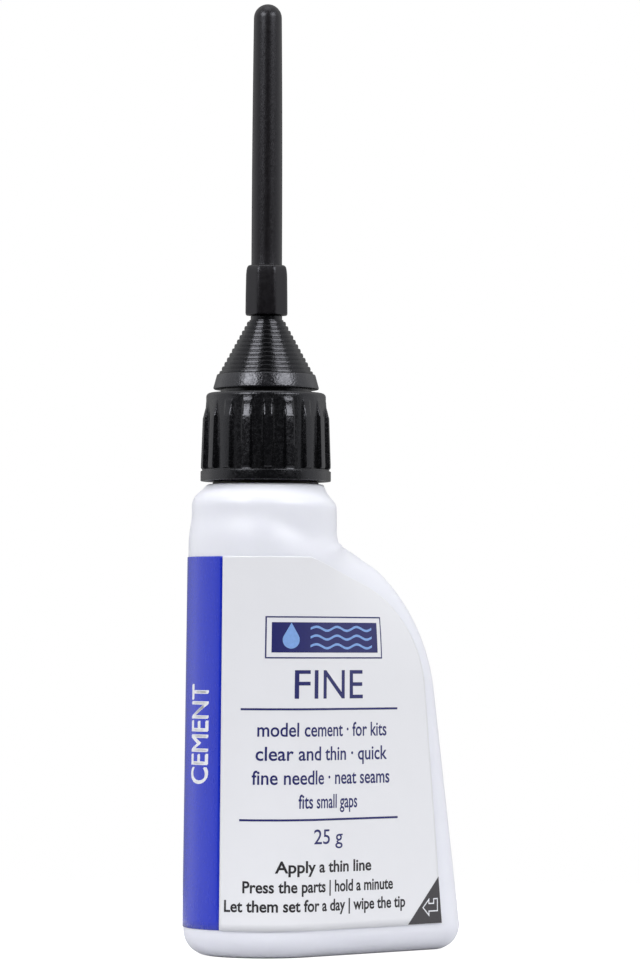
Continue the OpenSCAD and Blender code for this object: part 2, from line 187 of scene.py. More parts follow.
choice = sky.nodes.new("ShaderNodeMixShader")
shown.inputs["Color"].default_value = (1, 1, 1, 1)
join(way, "Generated", facing, 0)
join(facing, "Value", halved, 0)
join(halved, "Value", dim, "Fac")
join(dim, "Color", lit, "Color")
join(seen, "Is Camera Ray", choice, "Fac")
join(lit, "Background", choice, 1)
join(shown, "Background", choice, 2)
sky.links.new(choice.outputs["Shader"], sky.nodes["World Output"].inputs["Surface"])


# ---- Bottle ---------------------------------------------------------------
# One blow-moulded shell of white polyethylene: a round spine, flat flanks that close on a thin
# flared edge, a soft step under the plain shoulder, a support ring and a threaded neck.
collar_low, collar_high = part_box("screw_collar")
shoulder_z = collar_low.z - 0.45 * mm
neck_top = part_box("bottle")[1].z
step_z = shoulder_z - 5.4 * mm
spine_foot_r = 11.6 * mm
spine_top_r = 11.05 * mm
shoulder_r = 10.65 * mm
shoulder_edge_r = 10.29 * mm
edge_r = 5.2 * mm
wing_reach = 27.5 * mm
wing_flare = radians(7.5)
wing_arc_r = 27.0 * mm
foot_r = 3.6 * mm
wall = 0.9 * mm
floor_up = 0.6 * mm
neck_r = 6.3 * mm
neck_bore_r = 5.0 * mm
support_r = 7.65 * mm
thread_out = 0.8 * mm
thread_pitch = 3.0 * mm
half_count = 90


def smooth(t):
    t = min(1.0, max(0.0, t))
    return t * t * (3 - 2 * t)


# The thin edge's axis rises in a straight line, then on one arc that passes over the spine
lean = Vector((-sin(wing_flare), cos(wing_flare)))
across = Vector((cos(wing_flare), sin(wing_flare)))
from_top = Vector((wing_reach, 0)) - wing_arc_r * across - Vector((0, step_z - 1.2 * mm))
along = from_top.dot(lean)
arc_centre = (Vector((wing_reach, 0)) - wing_arc_r * across
              + lean * (-along - sqrt(along ** 2 - from_top.dot(from_top) + wing_arc_r ** 2)))
arc_foot = arc_centre.y + wing_arc_r * sin(wing_flare)


def reach_at(z):
    if z < arc_foot:
        return wing_reach - z * tan(wing_flare)
    sink = 0.5 * mm * smooth((z - step_z + 6.9 * mm) / (1.6 * mm))
    return arc_centre.x + sqrt(max(0.0, wing_arc_r ** 2 - (z - arc_centre.y) ** 2)) - sink


def spine_at(z):
    return spine_foot_r + (spine_top_r - spine_foot_r) * min(1.0, z / step_z)


def taper_at(z):
    """Direction that the flank faces, as an angle from the thin edge's direction."""
    drop = spine_at(z) - edge_r
    reach = reach_at(z)
    return acos(drop / reach) if reach > drop else 0.0


def side_point(u, z, off):
    """A point of the front at the distance u round the body from the middle of the spine."""
    r = spine_at(z)
    phi = taper_at(z)
    side = -1 if u < 0 else 1
    v = abs(u)
    round_l = r * (pi - phi)
    flat_l = reach_at(z) * sin(phi) if phi > 0 else 0.0
    if v <= round_l:
        a = pi - v / r
        return Vector((neck_x + (r + off) * cos(a), -side * (r + off) * sin(a), z))
    if v <= round_l + flat_l:
        w = v - round_l
        return Vector((neck_x + (r + off) * cos(phi) + w * sin(phi),
                       side * (w * cos(phi) - (r + off) * sin(phi)), z))
    a = phi - (v - round_l - flat_l) / edge_r
    return Vector((neck_x + reach_at(z) + (edge_r + off) * cos(a), -side * (edge_r + off) * sin(a), z))


def half_girth(z):
    phi = taper_at(z)
    flat_l = reach_at(z) * sin(phi) if phi > 0 else 0.0
    return spine_at(z) * (pi - phi) + flat_l + edge_r * phi


def step_depth(z, a):
    """How far the body has drawn in at the soft step, which dips towards the thin edge."""
    dip = 3.4 * mm * smooth((radians(128) - a) / radians(52))
    t = max(0.0, (z - (step_z - 3.3 * mm - dip)) / (3.6 * mm))
    clear = smooth((a - taper_at(z)) / radians(30))
    return 0.45 * mm * t * t * max(clear, smooth((z - step_z + 3.5 * mm) / (1.2 * mm)))


def soft_max(a, b, width):
    h = max(width - abs(a - b), 0.0) / width
    return max(a, b) + h * h * width * 0.25


def body_ring(z, off=0.0):
    """Points of one level section of the body, all the way round."""
    girth = half_girth(z)
    places = []
    for i in range(2 * half_count):
        k = i if i <= half_count else i - 2 * half_count
        p = side_point(girth * k / half_count, z, off)
        x = p.x - neck_x
        r = hypot(x, p.y)
        a = abs(atan2(p.y, x))
        least = shoulder_edge_r + (shoulder_r - shoulder_edge_r) * (1 - cos(a)) / 2 + off
        drawn = soft_max(r - step_depth(z, a), least, 0.25 * mm) if z > 50 * mm else r
        places.append(Vector((neck_x + x * drawn / r, p.y * drawn / r, z)))
    return places


def round_ring(r, z):
    """A round ring whose points match the body's sections."""
    return [Vector((neck_x - r * cos(pi * i / half_count), -r * sin(pi * i / half_count), z))
            for i in range(2 * half_count)]


def first_ring(bm, places):
    ring = [bm.verts.new(p) for p in places]
    for a, b in zip(ring, ring[1:] + ring[:1]):
        bm.edges.new((a, b))
    return ring


def grow(bm, ring, places):
    """Extrudes a closed ring and sets the new ring on the places given."""
    edges = [bm.edges.get((a, b)) for a, b in zip(ring, ring[1:] + ring[:1])]
    made = bmesh.ops.extrude_edge_only(bm, edges=edges)["geom"]
    fresh = {v for v in made if isinstance(v, bmesh.types.BMVert)}
    new = []
    for old, place in zip(ring, places):
        v = next(e.other_vert(old) for e in old.link_edges if e.other_vert(old) in fresh)
        v.co = place
        new.append(v)
    return new


def rounded(path, radius, steps=5):
    """The path with each inner corner turned into an arc; a list gives each corner's radius."""
    out = [Vector(path[0])]
    for n in range(1, len(path) - 1):
        a, b, c = Vector(path[n - 1]), Vector(path[n]), Vector(path[n + 1])
        r = radius[n - 1] if isinstance(radius, list) else radius
        d1, d2 = (a - b).normalized(), (c - b).normalized()
        half = acos(max(-1.0, min(1.0, d1.dot(d2)))) / 2
        if r <= 0 or half > radians(89) or half < radians(1):
            out.append(b)
            continue
        r = min(r, tan(half) * 0.49 * min((a - b).length, (c - b).length))
        centre = b + (d1 + d2).normalized() * (r / sin(half))
        p, q = b + d1 * (r / tan(half)) - centre, b + d2 * (r / tan(half)) - centre
        turn = atan2(p.x * q.y - p.y * q.x, p.dot(q))
        for i in range(steps + 1):
            w = turn * i / steps
            out.append(centre + Vector((p.x * cos(w) - p.y * sin(w), p.x * sin(w) + p.y * cos(w))))
    out.append(Vector(path[-1]))
    return out


def make_piece(bm, name, body, materials, sharp=None):
    """Turns a finished mesh into a smooth-shaded piece that rides on a body."""
    made = link_new(name, bpy.data.meshes.new(name))
    bm.to_mesh(made.data)
    bm.free()
    for material in materials:
        made.data.materials.append(material)
    for face in made.data.polygons:
        face.use_smooth = True
    if sharp:
        made.data.set_sharp_from_angle(angle=radians(sharp))
    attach(made, body)
    return made


def paint_between(obj, near, far, low, high):
    """Gives a piece's second material to its faces between two radii and two heights."""
    for face in obj.data.polygons:
        away = hypot(face.center.x - neck_x, face.center.y)
        if near < away < far and low < face.center.z < high:
            face.material_index = 1


def helix_ridge(bm, root_r, depth, turns, start_z, pitch, steps=48):
    """A one-start right-hand thread ridge, swept round the neck's axis and run out at both ends."""
    inner = root_r - 0.15 * mm if depth > 0 else root_r + 0.15 * mm
    count = int(turns * steps)
    ring = None
    for i in range(count + 1):
        a = 2 * pi * i / steps
        fade_out = min(1.0, (i + 0.4) / 8, (count - i + 0.4) / 8)
        crest = root_r + depth * fade_out
        z = start_z + pitch * i / steps
        section = [(inner, -0.24), (crest - 0.1 * depth, -0.15), (crest, -0.10),
                   (crest, 0.10), (crest - 0.1 * depth, 0.15), (inner, 0.24)]
        places = [Vector((neck_x + r * cos(a), r * sin(a), z + w * pitch)) for r, w in section]
        if ring is None:
            ring = first_ring(bm, places)
            bm.faces.new(ring)
        else:
            ring = grow(bm, ring, places)
    bm.faces.new(ring)


bottle_mesh = bmesh.new()
hollow = 6.0 * mm
ring = first_ring(bottle_mesh, body_ring(foot_r, -foot_r - hollow * 0.55))
for v in ring:
    v.co.z = floor_up
bottle_mesh.faces.new(ring)


def foot_ring(inset, z, base_z=0.0):
    """The section at the top of the foot's rounding, drawn in by inset and lowered to z."""
    places = body_ring(base_z + foot_r, -min(inset, edge_r - 0.3 * mm))
    for p in places:
        p.z = z
    return places


for inset, z in ((foot_r + 1.15 * mm, floor_up), (foot_r + 1.0 * mm, floor_up * 0.5),
                 (foot_r + 0.85 * mm, 0.06 * mm), (foot_r + 0.6 * mm, 0.0)):
    ring = grow(bottle_mesh, ring, foot_ring(inset, z))
for i in range(0, 10):
    a = radians(90) * i / 10
    ring = grow(bottle_mesh, ring, foot_ring(foot_r * (1 - sin(a)), foot_r * (1 - cos(a))))
straight_rows = 14
for i in range(straight_rows + 1):
    ring = grow(bottle_mesh, ring, body_ring(foot_r + (arc_foot - foot_r) * i / straight_rows))
arc_rows = 44
for i in range(1, arc_rows + 1):
    z = arc_centre.y + wing_arc_r * sin(wing_flare + (radians(71.5) - wing_flare) * i / arc_rows)
    ring = grow(bottle_mesh, ring, body_ring(z))
last_z = z
for i in range(1, 9):
    ring = grow(bottle_mesh, ring, body_ring(last_z + (step_z + 1.4 * mm - last_z) * i / 8))
shoulder_rows = ((10.65, 10.27, 1.6), (10.66, 10.25, 2.0), (10.66, 10.18, 2.35), (10.64, 10.05, 2.65),
                 (10.58, 9.87, 2.9), (10.49, 9.62, 3.2), (10.33, 9.35, 3.5), (10.10, 9.08, 3.8),
                 (9.80, 8.86, 4.1), (9.44, 8.70, 4.4), (9.08, 8.60, 4.7), (8.78, 8.52, 5.0),
                 (8.50, 8.42, 5.25), (8.30, 8.27, 5.38), (8.05, 8.05, 5.4))
for spine_side_r, edge_side_r, up in shoulder_rows:
    z = step_z + up * mm
    places = []
    for i in range(2 * half_count):
        a = pi * i / half_count
        r = edge_side_r + (spine_side_r - edge_side_r) * (1 + cos(a)) / 2
        places.append(Vector((neck_x - r * mm * cos(a), -r * mm * sin(a), z)))
    ring = grow(bottle_mesh, ring, places)
shoulder_path = rounded(
    [(support_r + 0.1 * mm, shoulder_z), (support_r, shoulder_z), (support_r, shoulder_z + 0.35 * mm),
     (neck_r, shoulder_z + 0.35 * mm), (neck_r, neck_top), (neck_bore_r, neck_top),
     (neck_bore_r, shoulder_z - 0.9 * mm), (shoulder_r - 3.2 * mm, shoulder_z - 0.9 * mm),
     (shoulder_r - wall, shoulder_z - 3.6 * mm), (shoulder_r - wall, step_z + 0.2 * mm)],
    [0.05 * mm, 0.12 * mm, 0.3 * mm, 0.25 * mm, 0.25 * mm, 0.8 * mm, 1.0 * mm, 1.5 * mm], 6)
for p in shoulder_path:
    ring = grow(bottle_mesh, ring, round_ring(p.x, p.y))
for z in (61, 59.6, 58.4, 57, 55.4, 53.4, 51, 48, 44, 40, 36, 26, 16, 8, 5):
    ring = grow(bottle_mesh, ring, body_ring(z * mm, -wall))
for i in range(4, -1, -1):
    a = radians(90) * i / 5
    inner_r = foot_r - wall
    ring = grow(bottle_mesh, ring, foot_ring(wall + inner_r * (1 - sin(a)),
                                             floor_up + wall + inner_r * (1 - cos(a))))
bottle_mesh.faces.new(ring)
helix_ridge(bottle_mesh, neck_r, thread_out, 1.75, shoulder_z + 3.1 * mm, thread_pitch)
bmesh.ops.recalc_face_normals(bottle_mesh, faces=bottle_mesh.faces)

# White polyethylene: light sinks in a little, the skin has a faint ripple and a moulding seam
bottle_paint, tree, shader = new_material(
    "bottle_polyethylene", Roughness=0.36, IOR=1.5, Subsurface_Weight=0.35,
    Subsurface_Radius=(1.0, 0.95, 1.05), Subsurface_Scale=0.9 * mm)
spot = tree.nodes.new("ShaderNodeTexCoord")
cloud = tree.nodes.new("ShaderNodeTexNoise")
cloud.inputs["Scale"].default_value = 90
cloud.inputs["Detail"].default_value = 3
tint = tree.nodes.new("ShaderNodeMix")
tint.data_type = "RGBA"
tint.inputs["A"].default_value = (0.775, 0.79, 0.865, 1)
tint.inputs["B"].default_value = (0.80, 0.81, 0.88, 1)
ripple = tree.nodes.new("ShaderNodeTexNoise")
ripple.inputs["Scale"].default_value = 420
ripple.inputs["Detail"].default_value = 2
sheen = tree.nodes.new("ShaderNodeMapRange")
sheen.inputs["To Min"].default_value = 0.33
sheen.inputs["To Max"].default_value = 0.42
split = tree.nodes.new("ShaderNodeSeparateXYZ")
gap = tree.nodes.new("ShaderNodeMath")
gap.operation = "ABSOLUTE"
seam = tree.nodes.new("ShaderNodeMapRange")
seam.interpolation_type = "SMOOTHSTEP"
seam.inputs["From Max"].default_value = 0.14 * mm
seam.inputs["To Min"].default_value = 1.0
seam.inputs["To Max"].default_value = 0.0
raised = tree.nodes.new("ShaderNodeMath")
raised.operation = "MULTIPLY_ADD"
raised.inputs[1].default_value = 0.5
bump = tree.nodes.new("ShaderNodeBump")
bump.inputs["Distance"].default_value = 0.06 * mm
bump.inputs["Strength"].default_value = 0.35
join(spot, "Object", cloud, "Vector")
join(spot, "Object", ripple, "Vector")
join(spot, "Object", split, 0)
join(cloud, "Fac", tint, "Factor")
join(tint, "Result", shader, "Base Color")
join(ripple, "Fac", sheen, "Value")
join(sheen, "Result", shader, "Roughness")
join(split, "Y", gap, 0)
join(gap, "Value", seam, "Value")
join(seam, "Result", raised, 0)
join(ripple, "Fac", raised, 2)
join(raised, "Value", bump, "Height")
join(bump, "Normal", shader, "Normal")
# The support ring is painted dark as painted shade under the collar, which gives the dark line between the
# collar and the shoulder
ring_painted_shade, tree, shader = new_material(
    "support_ring_painted_shade", Base_Color=(0.045, 0.036, 0.030, 1), Roughness=0.6)
bottle = make_piece(bottle_mesh, "bottle_shell", "bottle",
                    [bottle_paint, ring_painted_shade], sharp=50)
# Painted shade: the support ring's faces under the collar take the dark second material
paint_between(bottle, neck_r + 0.1 * mm, support_r + 0.01 * mm, shoulder_z, shoulder_z + 0.36 * mm)
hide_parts("bottle")


# ---- Cement ---------------------------------------------------------------
# The thin clear solvent cement inside; the CAD node keeps its shape.
cement_paint, tree, shader = new_material("solvent_cement", Roughness=0.05, IOR=1.44)
shader.inputs["Transmission Weight"].default_value = 0.6
haze = tree.nodes.new("ShaderNodeTexNoise")
haze.inputs["Scale"].default_value = 60
haze_tint = tree.nodes.new("ShaderNodeMix")
haze_tint.data_type = "RGBA"
haze_tint.inputs["A"].default_value = (0.85, 0.86, 0.80, 1)
haze_tint.inputs["B"].default_value = (0.82, 0.84, 0.79, 1)
spot = tree.nodes.new("ShaderNodeTexCoord")
join(spot, "Object", haze, "Vector")
join(haze, "Fac", haze_tint, "Factor")
join(haze_tint, "Result", shader, "Base Color")
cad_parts["glue"].data.materials.clear()
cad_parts["glue"].data.materials.append(cement_paint)


# ---- Base label -----------------------------------------------------------
# Paper wrapped round the spine from flank to flank. Its middle, over the spine, is printed blue.
label_low, label_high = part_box("label_base")
label_z0 = label_low.z
label_z1 = label_high.z
paper = 0.09 * mm
film_gap = 0.04 * mm
fold_angle = radians(27)
label_top_x = 1.1 * mm
label_slope = radians(19)
label_flare = radians(4.6)
label_corner_r = 17 * mm
label_foot_x = wing_reach - foot_r * tan(wing_flare) + edge_r - 5.5 * mm

slope_way = Vector((cos(label_slope), -sin(label_slope)))
side_way = Vector((sin(label_flare), -cos(label_flare)))
label_shoulder = Vector((label_top_x, label_z1))
label_toe = Vector((label_foot_x, label_z0))
between = label_toe - label_shoulder
corner_at = label_shoulder + slope_way * ((between.x * side_way.y - between.y * side_way.x)
                                          / (slope_way.x * side_way.y - slope_way.y * side_way.x))
turned = acos(slope_way.dot(side_way))
arc_start = corner_at - slope_way * (label_corner_r * tan(turned / 2))
arc_end = corner_at + side_way * (label_corner_r * tan(turned / 2))
corner_c = arc_end - label_corner_r * Vector((cos(label_flare), sin(label_flare)))


def label_edge(z):
    """How far the label's free edge reaches past the neck's axis at the height z."""
    if z > arc_start.y:
        return label_shoulder.x + (label_shoulder.y - z) * slope_way.x / -slope_way.y
    if z < arc_end.y:
        return label_toe.x + (z - label_toe.y) * side_way.x / side_way.y
    return corner_c.x + sqrt(label_corner_r ** 2 - (z - corner_c.y) ** 2)


def length_to(z, x):
    """Distance round the front from the middle of the spine to the point x past the axis."""
    r = spine_at(z)
    phi = taper_at(z)
    if x > r * cos(phi):
        return r * (pi - phi) + (x - r * cos(phi)) / sin(phi)
    return r * (pi - acos(x / r))


def row_height(t):
    """Rows crowd together towards the label's sloping shoulder."""
    return label_z0 + (label_z1 - label_z0) * (1 - (1 - t) ** 1.35)


def sheet_mesh(start, stop, off, columns, rows):
    """A sheet of paper on the body's side, from the distance start(z) to stop(z) round it."""
    bm = bmesh.new()
    bmesh.ops.create_grid(bm, x_segments=columns, y_segments=rows, size=0.5)
    for v in bm.verts:
        z = row_height(v.co.y + 0.5)
        v.co = side_point(start(z) + (stop(z) - start(z)) * (v.co.x + 0.5), z, off)
    return bm


fold_shift = 0.28 * mm


def fold_at(z):
    return spine_at(z) * fold_angle + fold_shift


def free_edge(z):
    return length_to(z, label_edge(z))


def paper_material(name, colour, colour_2, rough, coat=0.0):
    """Coated label paper: a faint cloud in the white, and fibres that lift the film a little."""
    material, tree, shader = new_material(name, IOR=1.45, Coat_Weight=coat, Coat_Roughness=0.12)
    spot = tree.nodes.new("ShaderNodeTexCoord")
    cloud = tree.nodes.new("ShaderNodeTexNoise")
    cloud.inputs["Scale"].default_value = 160
    cloud.inputs["Detail"].default_value = 4
    mix = tree.nodes.new("ShaderNodeMix")
    mix.data_type = "RGBA"
    mix.inputs["A"].default_value = colour
    mix.inputs["B"].default_value = colour_2
    stretch = tree.nodes.new("ShaderNodeMapping")
    stretch.inputs["Scale"].default_value = (1.0, 1.0, 0.35)
    fibre = tree.nodes.new("ShaderNodeTexNoise")
    fibre.inputs["Scale"].default_value = 1500
    fibre.inputs["Detail"].default_value = 3
    shine = tree.nodes.new("ShaderNodeMapRange")
    shine.inputs["To Min"].default_value = rough - 0.05
    shine.inputs["To Max"].default_value = rough + 0.06
    bump = tree.nodes.new("ShaderNodeBump")
    bump.inputs["Distance"].default_value = 0.012 * mm
    bump.inputs["Strength"].default_value = 0.5
    join(spot, "Object", cloud, "Vector")
    join(spot, "Object", stretch, "Vector")
    join(stretch, "Vector", fibre, "Vector")
    join(cloud, "Fac", mix, "Factor")
    join(mix, "Result", shader, "Base Color")
    join(fibre, "Fac", shine, "Value")
    join(shine, "Result", shader, "Roughness")
    join(fibre, "Fac", bump, "Height")
    join(bump, "Normal", shader, "Normal")
    return material


white_paper = paper_material("label_white", (0.76, 0.77, 0.81, 1), (0.785, 0.79, 0.835, 1), 0.32)
blue_paper = paper_material("label_blue", (0.004, 0.021, 0.48, 1), (0.007, 0.028, 0.52, 1), 0.26, coat=0.35)


def thicken(obj, thickness):
    """Gives a sheet its paper thickness, outwards from the glued side."""
    wall_maker = obj.modifiers.new("thickness", "SOLIDIFY")
    wall_maker.thickness = thickness
    wall_maker.offset = 1.0


def outward(bm):
    """Turns a sheet's faces away from the bottle."""
    some = next(iter(bm.faces))
    some.normal_update()
    middle = some.calc_center_median() - Vector((neck_x, 0, some.calc_center_median().z))
    if some.normal.dot(middle) < 0:
        bmesh.ops.reverse_faces(bm, faces=bm.faces)


band_half = 20
side_columns = 70
band_mesh = sheet_mesh(lambda z: -fold_at(z), fold_at, film_gap, band_half, 60)
outward(band_mesh)
band = make_piece(band_mesh, "label_band", "bottle", [blue_paper])
thicken(band, paper)
front_mesh = sheet_mesh(fold_at, free_edge, film_gap, side_columns, 60)
outward(front_mesh)
under_leaf = make_piece(front_mesh, "label_under_leaf", "bottle", [white_paper])
thicken(under_leaf, paper)
back_mesh = sheet_mesh(lambda z: -free_edge(z), lambda z: -fold_at(z), film_gap, side_columns, 60)
outward(back_mesh)
label_back = make_piece(back_mesh, "label_back", "bottle", [white_paper])
thicken(label_back, paper)
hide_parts("label_base")


# ---- Label leaf -----------------------------------------------------------
# The laminated top layer over the front flank. It folds at the blue band's edge and peels from
# the dark corner at its foot.
leaf_off = 2 * film_gap + paper
leaf_columns = 76
leaf_mesh = sheet_mesh(fold_at, lambda z: free_edge(z) - 0.15 * mm, leaf_off, leaf_columns, 70)
outward(leaf_mesh)
leaf_paper = paper_material("leaf_white", (0.76, 0.768, 0.805, 1), (0.78, 0.786, 0.825, 1), 0.30)
leaf = make_piece(leaf_mesh, "label_leaf_sheet", "leaf", [leaf_paper])
thicken(leaf, paper)
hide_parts("label_leaf")


# ---- Print ----------------------------------------------------------------
# Flat ink on the leaf and the band: rules, a drop emblem, plain words about the cement, and the
# dark peel corner with its arrow.
ink = 0.012 * mm
cell = 0.55 * mm


def ink_material(name, colour, rough=0.45):
    material, tree, shader = new_material(name, Roughness=rough)
    spot = tree.nodes.new("ShaderNodeTexCoord")
    dots = tree.nodes.new("ShaderNodeTexNoise")
    dots.inputs["Scale"].default_value = 2600
    mix = tree.nodes.new("ShaderNodeMix")
    mix.data_type = "RGBA"
    mix.inputs["A"].default_value = (colour[0] * 0.85, colour[1] * 0.85, colour[2] * 0.85, 1)
    mix.inputs["B"].default_value = (min(1, colour[0] * 1.15), min(1, colour[1] * 1.15),
                                     min(1, colour[2] * 1.15), 1)
    join(spot, "Object", dots, "Vector")
    join(dots, "Fac", mix, "Factor")
    join(mix, "Result", shader, "Base Color")
    return material


navy_ink = ink_material("ink_navy", (0.010, 0.012, 0.12))
black_ink = ink_material("ink_black", (0.012, 0.010, 0.014))
grey_ink = ink_material("ink_grey", (0.044, 0.041, 0.047))
white_ink = ink_material("ink_white", (0.78, 0.79, 0.84))
sky_ink = ink_material("ink_sky", (0.20, 0.36, 0.72))


def lay_flat(bm, off):
    """Cuts a flat drawing into narrow strips and lays it on the body's side; x is the distance
    round from the spine and y is the height."""
    lows = [min(v.co[k] for v in bm.verts) for k in (0, 1)]
    highs = [max(v.co[k] for v in bm.verts) for k in (0, 1)]
    for k in (0, 1):
        way = Vector((1, 0, 0)) if k == 0 else Vector((0, 1, 0))
        width = cell if k == 0 else 2 * mm
        n = int(lows[k] / width) + 1
        while n * width < highs[k]:
            everything = bm.verts[:] + bm.edges[:] + bm.faces[:]
            bmesh.ops.bisect_plane(bm, geom=everything, plane_co=way * (n * width), plane_no=way)
            n += 1
    for v in bm.verts:
        v.co = side_point(v.co.x, v.co.y, off)
    outward(bm)


def add_words(bm, words, left, right, base, cap_height, upright=False, bold=0.0):
    """Adds words that fill the width from left to right, with capitals of the height given."""
    sizes = []
    for body_text in ("H", words):
        curve = bpy.data.curves.new("words", "FONT")
        curve.body = body_text
        curve.resolution_u = 5
        curve.offset = bold
        carrier = link_new("words", curve)
        bpy.context.view_layer.update()
        mesh = bpy.data.meshes.new_from_object(carrier.evaluated_get(bpy.context.evaluated_depsgraph_get()))
        bpy.data.objects.remove(carrier)
        bpy.data.curves.remove(curve)
        xs = [v.co.x for v in mesh.vertices]
        ys = [v.co.y for v in mesh.vertices]
        sizes.append((min(xs), max(xs), max(ys)))
    for v in mesh.vertices:
        x = (v.co.x - sizes[1][0]) / (sizes[1][1] - sizes[1][0])
        y = v.co.y * cap_height / sizes[0][2]
        if upright:
            v.co = (base - y, left + (right - left) * x, 0)
        else:
            v.co = (left + (right - left) * x, base + y, 0)
    bm.from_mesh(mesh)
    bpy.data.meshes.remove(mesh)


def add_block(bm, left, right, low, high):
    """Adds a plain printed rectangle."""
    corners = [bm.verts.new((x, y, 0)) for x, y in ((left, low), (right, low), (right, high), (left, high))]
    bm.faces.new(corners)


def add_outline(bm, points, line):
    """Adds a closed printed line of even width along the points."""
    count = len(points)
    inner, outer = [], []
    for n in range(count):
        a, b, c = (Vector(points[(n + s) % count]) for s in (-1, 0, 1))
        n1 = Vector((-(b - a).y, (b - a).x)).normalized()
        n2 = Vector((-(c - b).y, (c - b).x)).normalized()
        mitre = (n1 + n2) / max(0.3, 1 + n1.dot(n2))
        inner.append(bm.verts.new((*(b + mitre * line / 2), 0)))
        outer.append(bm.verts.new((*(b - mitre * line / 2), 0)))
    for n in range(count):
        m = (n + 1) % count
        bm.faces.new((outer[n], outer[m], inner[m], inner[n]))


def add_shape(bm, points):
    bm.faces.new([bm.verts.new((x, y, 0)) for x, y in points])


def print_piece(bm, name, body, material, off):
    bmesh.ops.triangulate(bm, faces=bm.faces)
    lay_flat(bm, off)
    made = make_piece(bm, name, body, [material])
    for face in made.data.polygons:
        face.use_smooth = False
    thicken(made, ink)
    return made


on_leaf = leaf_off + paper + 0.004 * mm
rule_left, rule_right = 8.6 * mm, 36.4 * mm
navy = bmesh.new()
add_block(navy, rule_left, rule_right, 35.3 * mm, 35.6 * mm)
add_block(navy, rule_left, rule_right, 19.6 * mm, 19.9 * mm)
add_words(navy, "FINE", 16.2 * mm, 29.2 * mm, 36.95 * mm, 4.05 * mm)
text_lines = (("model cement · for kits", 11.0, 34.1, 31.6), ("clear and thin · quick", 10.8, 34.2, 28.2),
              ("fine needle · neat seams", 10.3, 34.7, 24.8), ("fits small gaps", 17.0, 28.1, 21.4))
for words, left, right, base in text_lines:
    add_words(navy, words, left * mm, right * mm, base * mm, 1.95 * mm, bold=0.012)
add_words(navy, "25 g", 19.6 * mm, 25.2 * mm, 16.3 * mm, 2.05 * mm, bold=0.004)
print_piece(navy, "print_navy", "leaf", navy_ink, on_leaf)

black = bmesh.new()
small_lines = (("Apply a thin line", 13.7, 31.0, 12.3), ("Press the parts | hold a minute", 9.2, 35.4, 9.5),
               ("Let them set for a day | wipe the tip", 6.5, 37.9, 6.8))
for words, left, right, base in small_lines:
    add_words(black, words, left * mm, right * mm, base * mm, 1.65 * mm, bold=0.022)
print_piece(black, "print_black", "leaf", black_ink, on_leaf)

# Emblem: a dark panel in a thin frame, with a falling drop and three wavy lines
emblem_low, emblem_high = 42.75 * mm, 48.55 * mm
emblem_left, emblem_right = 12.0 * mm, 33.2 * mm
panel = bmesh.new()
add_outline(panel, [(emblem_left, emblem_low), (emblem_right, emblem_low),
                    (emblem_right, emblem_high), (emblem_left, emblem_high)], 0.2 * mm)
add_block(panel, emblem_left + 0.8 * mm, emblem_right - 0.8 * mm,
          emblem_low + 0.75 * mm, emblem_high - 0.75 * mm)
print_piece(panel, "print_emblem_panel", "leaf", navy_ink, on_leaf)
drop_x = emblem_left + 3.6 * mm
drop_z = (emblem_low + emblem_high) / 2 - 0.35 * mm
drop_r = 1.25 * mm
drops = bmesh.new()
outline = [(drop_x, drop_z + 2.45 * mm)]
for i in range(25):
    a = radians(35 - 250 * i / 24)
    outline.append((drop_x + drop_r * cos(a), drop_z + drop_r * sin(a)))
add_shape(drops, outline)
for k in range(3):
    top, low = [], []
    for i in range(41):
        x = emblem_left + 6.6 * mm + (emblem_right - emblem_left - 8.6 * mm) * i / 40
        z = (emblem_low + emblem_high) / 2 + (k - 1) * 1.25 * mm + 0.28 * mm * sin(2 * pi * i / 13.3)
        top.append((x, z + 0.17 * mm))
        low.append((x, z - 0.17 * mm))
    add_shape(drops, top + low[::-1])
print_piece(drops, "print_emblem_drop", "leaf", sky_ink, on_leaf + ink)

# Peel corner
corner_z = 10.9 * mm
corner_u = 38.5 * mm
corner_foot = label_z0 + 0.05 * mm
peel = bmesh.new()
peel_points = [(corner_u, corner_foot), (free_edge(label_z0) - 0.2 * mm, corner_foot),
               (free_edge(corner_z) - 0.2 * mm, corner_z)]
add_shape(peel, peel_points)
print_piece(peel, "print_peel_corner", "leaf", grey_ink, on_leaf)
arrow_at = Vector((43.15 * mm, 6.5 * mm))
arrow = bmesh.new()
arrow_points = [(-1.45, 0.0), (-0.35, 1.05), (-0.35, 0.5), (0.55, 0.5), (0.55, 1.1), (1.25, 1.1),
                (1.25, -0.5), (-0.35, -0.5), (-0.35, -1.05)]
add_outline(arrow, [tuple(arrow_at + Vector(p) * 1.1 * mm) for p in arrow_points], 0.17 * mm)
print_piece(arrow, "print_peel_arrow", "leaf", white_ink, on_leaf + ink)

# The upright word is printed twice, a little apart, which thickens its strokes
spine_word = bmesh.new()
for shift in (0, 0.14 * mm):
    add_words(spine_word, "CEMENT", 24.70 * mm + shift, 38.80 * mm + shift, 3.13 * mm + shift,
              3.97 * mm, upright=True)
print_piece(spine_word, "print_spine_word", "bottle", white_ink,
            film_gap + paper + 0.004 * mm)


